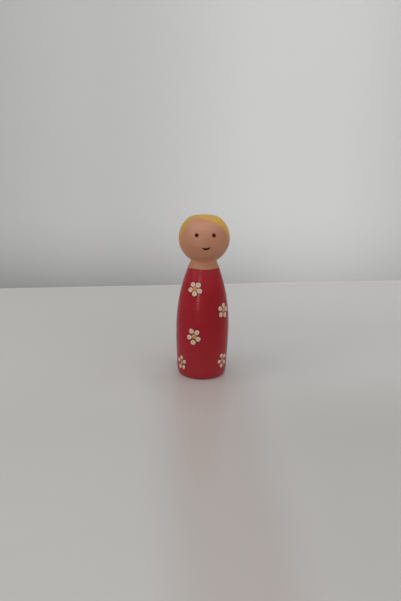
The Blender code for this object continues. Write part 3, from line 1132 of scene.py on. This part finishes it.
cameraSettings = {
    "frameSize": (401, 601),
    "focalPixels": 1000,
    "target": Vector((0, 0, 41.6 * mm)),
    "targetPixel": (202.88, 300.0),
    "distance": 540.4 * mm,
    "azimuth": radians(-4.5),
    "elevation": radians(19.93),
    "roll": radians(1.15),
    "sensor": 36.0,
}
stageSettings = {
    "wallBehind": 145 * mm,
    "turn": radians(2.6),
    "coveRadius": 0.5 * mm,
    "coveSteps": 6,
    "front": 1.2,
    "wallHeight": 0.7,
    "width": 3.0,
    "floor": (0.404, 0.394, 0.380, 1),
    # painted light, lighter on the right
    "floorRight": (0.424, 0.421, 0.412, 1),
    "floorFront": (0.250, 0.178, 0.157, 1),       # painted shadow and reflection of the doll, before it
    "floorNear": (0.347, 0.337, 0.324, 1),        # painted shade at the front, most at the right
    "floorFar": (0.488, 0.480, 0.468, 1),         # painted light along the wall
    "mirrored": (0.40, 0.39, 0.38, 1),            # plain where something shiny mirrors it
    "wall": (0.516, 0.518, 0.514, 1),
    # painted light, lighter on the right
    "wallRight": (0.655, 0.656, 0.653, 1),
    "wallEnds": 0.15,           # painted shade, how much darker it is far to both sides
    "wallShade": 0.39,          # how much darker the foot of the wall is, less at the right
    "shadeRight": 0.22,
    "shadeReach": 60 * mm,
    "shadeFall": 2.2,
    "index": 1.7,
    "bounce": 0.42,
    "contact": 0.5 * mm,
    "unevenness": 0.04,
    "cloudDensity": 9.0,
    "roughness": 0.22,
    "gloss": 0.45,
    # stretches over which it changes, across, towards the back and up
    "floorTurns": (-60 * mm, 90 * mm),
    "wallTurns": (-60 * mm, 62 * mm),
    "wallMiddle": 15 * mm,
    "endsTurn": (75 * mm, 165 * mm),
    "shadeTurns": (20 * mm, 85 * mm),
    "rightFrom": (-75 * mm, 0),
    "tintGrows": (-60 * mm, -15 * mm),
    "tintEnds": (-14 * mm, 4 * mm),
    "tintSides": (8 * mm, 40 * mm),
    "farFrom": (50 * mm, 150 * mm),
    "nearTo": (-80 * mm, 15 * mm),
    "nearTurns": (-15 * mm, 55 * mm),
    "mattFrom": (0, 0.1 * mm),
    "black": (0, 0, 0, 1),
    "white": (1, 1, 1, 1),
}
lightSettings = {
    "horizon": 0.40,
    "zenith": 1.41,
    "riseFrom": 0.05,           # height of the sky direction where the light starts to grow
    "riseTo": 0.65,
}
lampSettings = (
    # a small panel before the doll, for the streak of light on the dress, and broad ones around it
    {"name": "windowPanel", "turn": radians(-27), "rise": radians(9), "distance": 0.85,
     "size": (0.14, 0.26), "power": 0.9, "colour": (1, 0.8, 0.78), "fills": False},
    {"name": "sidePanel", "turn": radians(-80), "rise": radians(30), "distance": 1.0,
     "size": (0.8, 0.6), "power": 2.0},
    {"name": "frontPanel", "turn": radians(-5), "rise": radians(10), "distance": 1.0,
     "size": (0.9, 0.5), "power": 0.36, "shines": False},
    {"name": "farPanel", "turn": radians(80), "rise": radians(25), "distance": 1.0,
     "size": (0.8, 0.6), "power": 0.25, "shines": False},
)


def sideways(turn, rise, distance):
    return Vector((sin(turn) * cos(rise), -cos(turn) * cos(rise), sin(rise))) * distance


def makeStagePaint():
    look = stageSettings
    material, tree, shader = newMaterial("stagePaint", look["floor"])
    place = objectPlace(tree)
    apart = axesOf(tree, place)
    upright = remap(tree, apart["Z"], 0, look["coveRadius"])
    clouds = times(tree, noiseOf(tree, place, look["cloudDensity"], 3.0), look["unevenness"])
    # painted light: the floor and the wall lighter towards the right
    brighter = remap(tree, apart["X"], *look["floorTurns"])
    right = remap(tree, apart["X"], *look["wallTurns"])
    # painted shade: the wall darker far to both sides, and at its foot
    aside = calc(tree, 'ABSOLUTE', calc(tree, 'SUBTRACT', apart["X"], look["wallMiddle"]))
    ends = remap(tree, aside, *look["endsTurn"], 0.0, look["wallEnds"])
    depth = calc(tree, 'SUBTRACT', 1, calc(tree, 'DIVIDE', apart["Z"], look["shadeReach"]))
    shade = calc(tree, 'POWER', calc(tree, 'MAXIMUM', depth, 0), look["shadeFall"])
    darkest = remap(tree, apart["X"], *look["shadeTurns"], look["wallShade"], look["shadeRight"])
    wall = layered(tree, look["wall"], (right, look["wallRight"]), (ends, look["black"]),
                   (times(tree, shade, darkest), look["black"]))
    behindFront = calc(tree, 'SUBTRACT', 1, remap(tree, apart["Y"], *look["rightFrom"], 1.0, 0.0))
    # painted light along the wall, and painted shade at the front
    far = times(tree, remap(tree, apart["Y"], *look["farFrom"]), calc(tree, 'MAXIMUM', brighter, 0.3))
    near = times(tree, remap(tree, apart["Y"], *look["nearTo"], 1.0, 0.0),
                 remap(tree, apart["X"], *look["nearTurns"], 0.5, 1.0))
    # painted shadow and reflection of the doll on the floor before it
    tint = times(tree, remap(tree, apart["Y"], *look["tintGrows"], 0.34, 0.46),
                 remap(tree, apart["Y"], *look["tintEnds"], 1.0, 0.0))
    central = remap(tree, calc(tree, 'ABSOLUTE', apart["X"]), *look["tintSides"], 1.0, 0.0)
    floor = layered(tree, look["floor"], (times(tree, brighter, behindFront), look["floorRight"]),
                    (far, look["floorFar"]), (near, look["floorNear"]),
                    (times(tree, tint, central), look["floorFront"]))
    # it throws back more light than the camera sees, and is plain and matt in a mirror
    path = addNode(tree, "ShaderNodeLightPath").outputs
    bounce = times(tree, path["Is Diffuse Ray"], look["bounce"])
    colour = layered(tree, floor, (upright, wall), (clouds, look["white"]), (bounce, look["white"]),
                     (path["Is Glossy Ray"], look["mirrored"]))
    matt = calc(tree, 'MAXIMUM', path["Is Glossy Ray"], remap(tree, apart["Z"], *look["mattFrom"]))
    gloss = times(tree, calc(tree, 'SUBTRACT', 1, matt), look["gloss"])
    feed(tree, shader, Base_Color=colour, Roughness=look["roughness"], Specular_IOR_Level=gloss,
         IOR=look["index"])
    # seen from behind or below, or from the base that stands on it, the stage is clear
    clear = addNode(tree, "ShaderNodeBsdfTransparent")
    touching = calc(tree, 'LESS_THAN', path["Ray Length"], look["contact"])
    behind = calc(tree, 'MAXIMUM', addNode(tree, "ShaderNodeNewGeometry").outputs["Backfacing"], touching)
    either = addNode(tree, "ShaderNodeMixShader")
    for socket, value in zip(either.inputs, (behind, shader.outputs["BSDF"], clear.outputs["BSDF"])):
        tree.links.new(value, socket)
    tree.links.new(either.outputs["Shader"], tree.nodes["Material Output"].inputs["Surface"])
    return material


def makeStage():
    look = stageSettings
    turnBack = look["wallBehind"] - look["coveRadius"]
    build = bmesh.new()
    front = build.verts.new((-look["width"] / 2, -look["front"], 0))
    back = build.verts.new((-look["width"] / 2, turnBack, 0))
    build.edges.new((front, back))
    cove = bmesh.ops.spin(build, geom=[back], axis=(1, 0, 0), cent=(0, turnBack, look["coveRadius"]),
                          angle=pi / 2, steps=look["coveSteps"])
    top = [item for item in cove["geom_last"] if isinstance(item, bmesh.types.BMVert)]
    wall = bmesh.ops.extrude_vert_indiv(build, verts=top)
    bmesh.ops.translate(build, verts=wall["verts"], vec=(0, 0, look["wallHeight"]))
    sheet = bmesh.ops.extrude_edge_only(build, edges=build.edges[:])
    moved = [item for item in sheet["geom"] if isinstance(item, bmesh.types.BMVert)]
    bmesh.ops.translate(build, verts=moved, vec=(look["width"], 0, 0))
    bmesh.ops.rotate(build, verts=build.verts, cent=(0, 0, 0),
                     matrix=Matrix.Rotation(look["turn"], 3, 'Z'))
    bmesh.ops.recalc_face_normals(build, faces=build.faces)
    build.normal_update()
    if max(build.faces, key=lambda face: face.calc_area()).normal.z < 0:
        bmesh.ops.reverse_faces(build, faces=build.faces)
    stage = addPiece(build, "stage", makeStagePaint())


def makeSky():
    look = lightSettings
    world = bpy.data.worlds.new("softLight")
    scene.world = world
    world.use_nodes = True
    tree = world.node_tree
    apart = axesOf(tree, addNode(tree, "ShaderNodeTexCoord").outputs["Generated"])
    level = remap(tree, apart["Z"], look["riseFrom"], look["riseTo"], look["horizon"], look["zenith"])
    feed(tree, tree.nodes["Background"], Strength=level, Color=(1, 1, 1, 1))


def makeLamp(look):
    lamp = bpy.data.lights.new(look["name"], 'AREA')
    lamp.shape = 'RECTANGLE'
    lamp.size, lamp.size_y = look["size"]
    lamp.energy = look["power"]
    lamp.color = look.get("colour", (1, 1, 1))
    panel = bpy.data.objects.new(look["name"], lamp)
    way = sideways(look["turn"], look["rise"], look["distance"])
    panel.location = cameraSettings["target"] + way
    panel.rotation_euler = way.to_track_quat('Z', 'Y').to_euler()
    panel.visible_camera = False
    panel.visible_glossy = look.get("shines", True)
    panel.visible_diffuse = look.get("fills", True)
    scene.collection.objects.link(panel)


def makeCamera():
    look = cameraSettings
    back = sideways(look["azimuth"], look["elevation"], 1)
    turn = (-back).to_track_quat('-Z', 'Y') @ Quaternion((0, 0, 1), look["roll"])
    width, height = look["frameSize"]
    right = turn @ Vector((1, 0, 0))
    up = turn @ Vector((0, 1, 0))
    aside = (look["targetPixel"][0] - width / 2) / look["focalPixels"] * look["distance"]
    lower = (look["targetPixel"][1] - height / 2) / look["focalPixels"] * look["distance"]
    lens = bpy.data.cameras.new("photoView")
    lens.sensor_width = look["sensor"]
    lens.lens = look["focalPixels"] * look["sensor"] / max(width, height)
    lens.clip_start, lens.clip_end = 0.01, 20
    camera = bpy.data.objects.new("photoView", lens)
    camera.rotation_mode = 'QUATERNION'
    camera.rotation_quaternion = turn
    camera.location = look["target"] + back * look["distance"] - right * aside + up * lower
    scene.collection.objects.link(camera)
    scene.camera = camera


makeStage()
makeSky()
for lampLook in lampSettings:
    makeLamp(lampLook)
makeCamera()
scene.view_settings.view_transform = 'Standard'
print("stage, light and camera set")
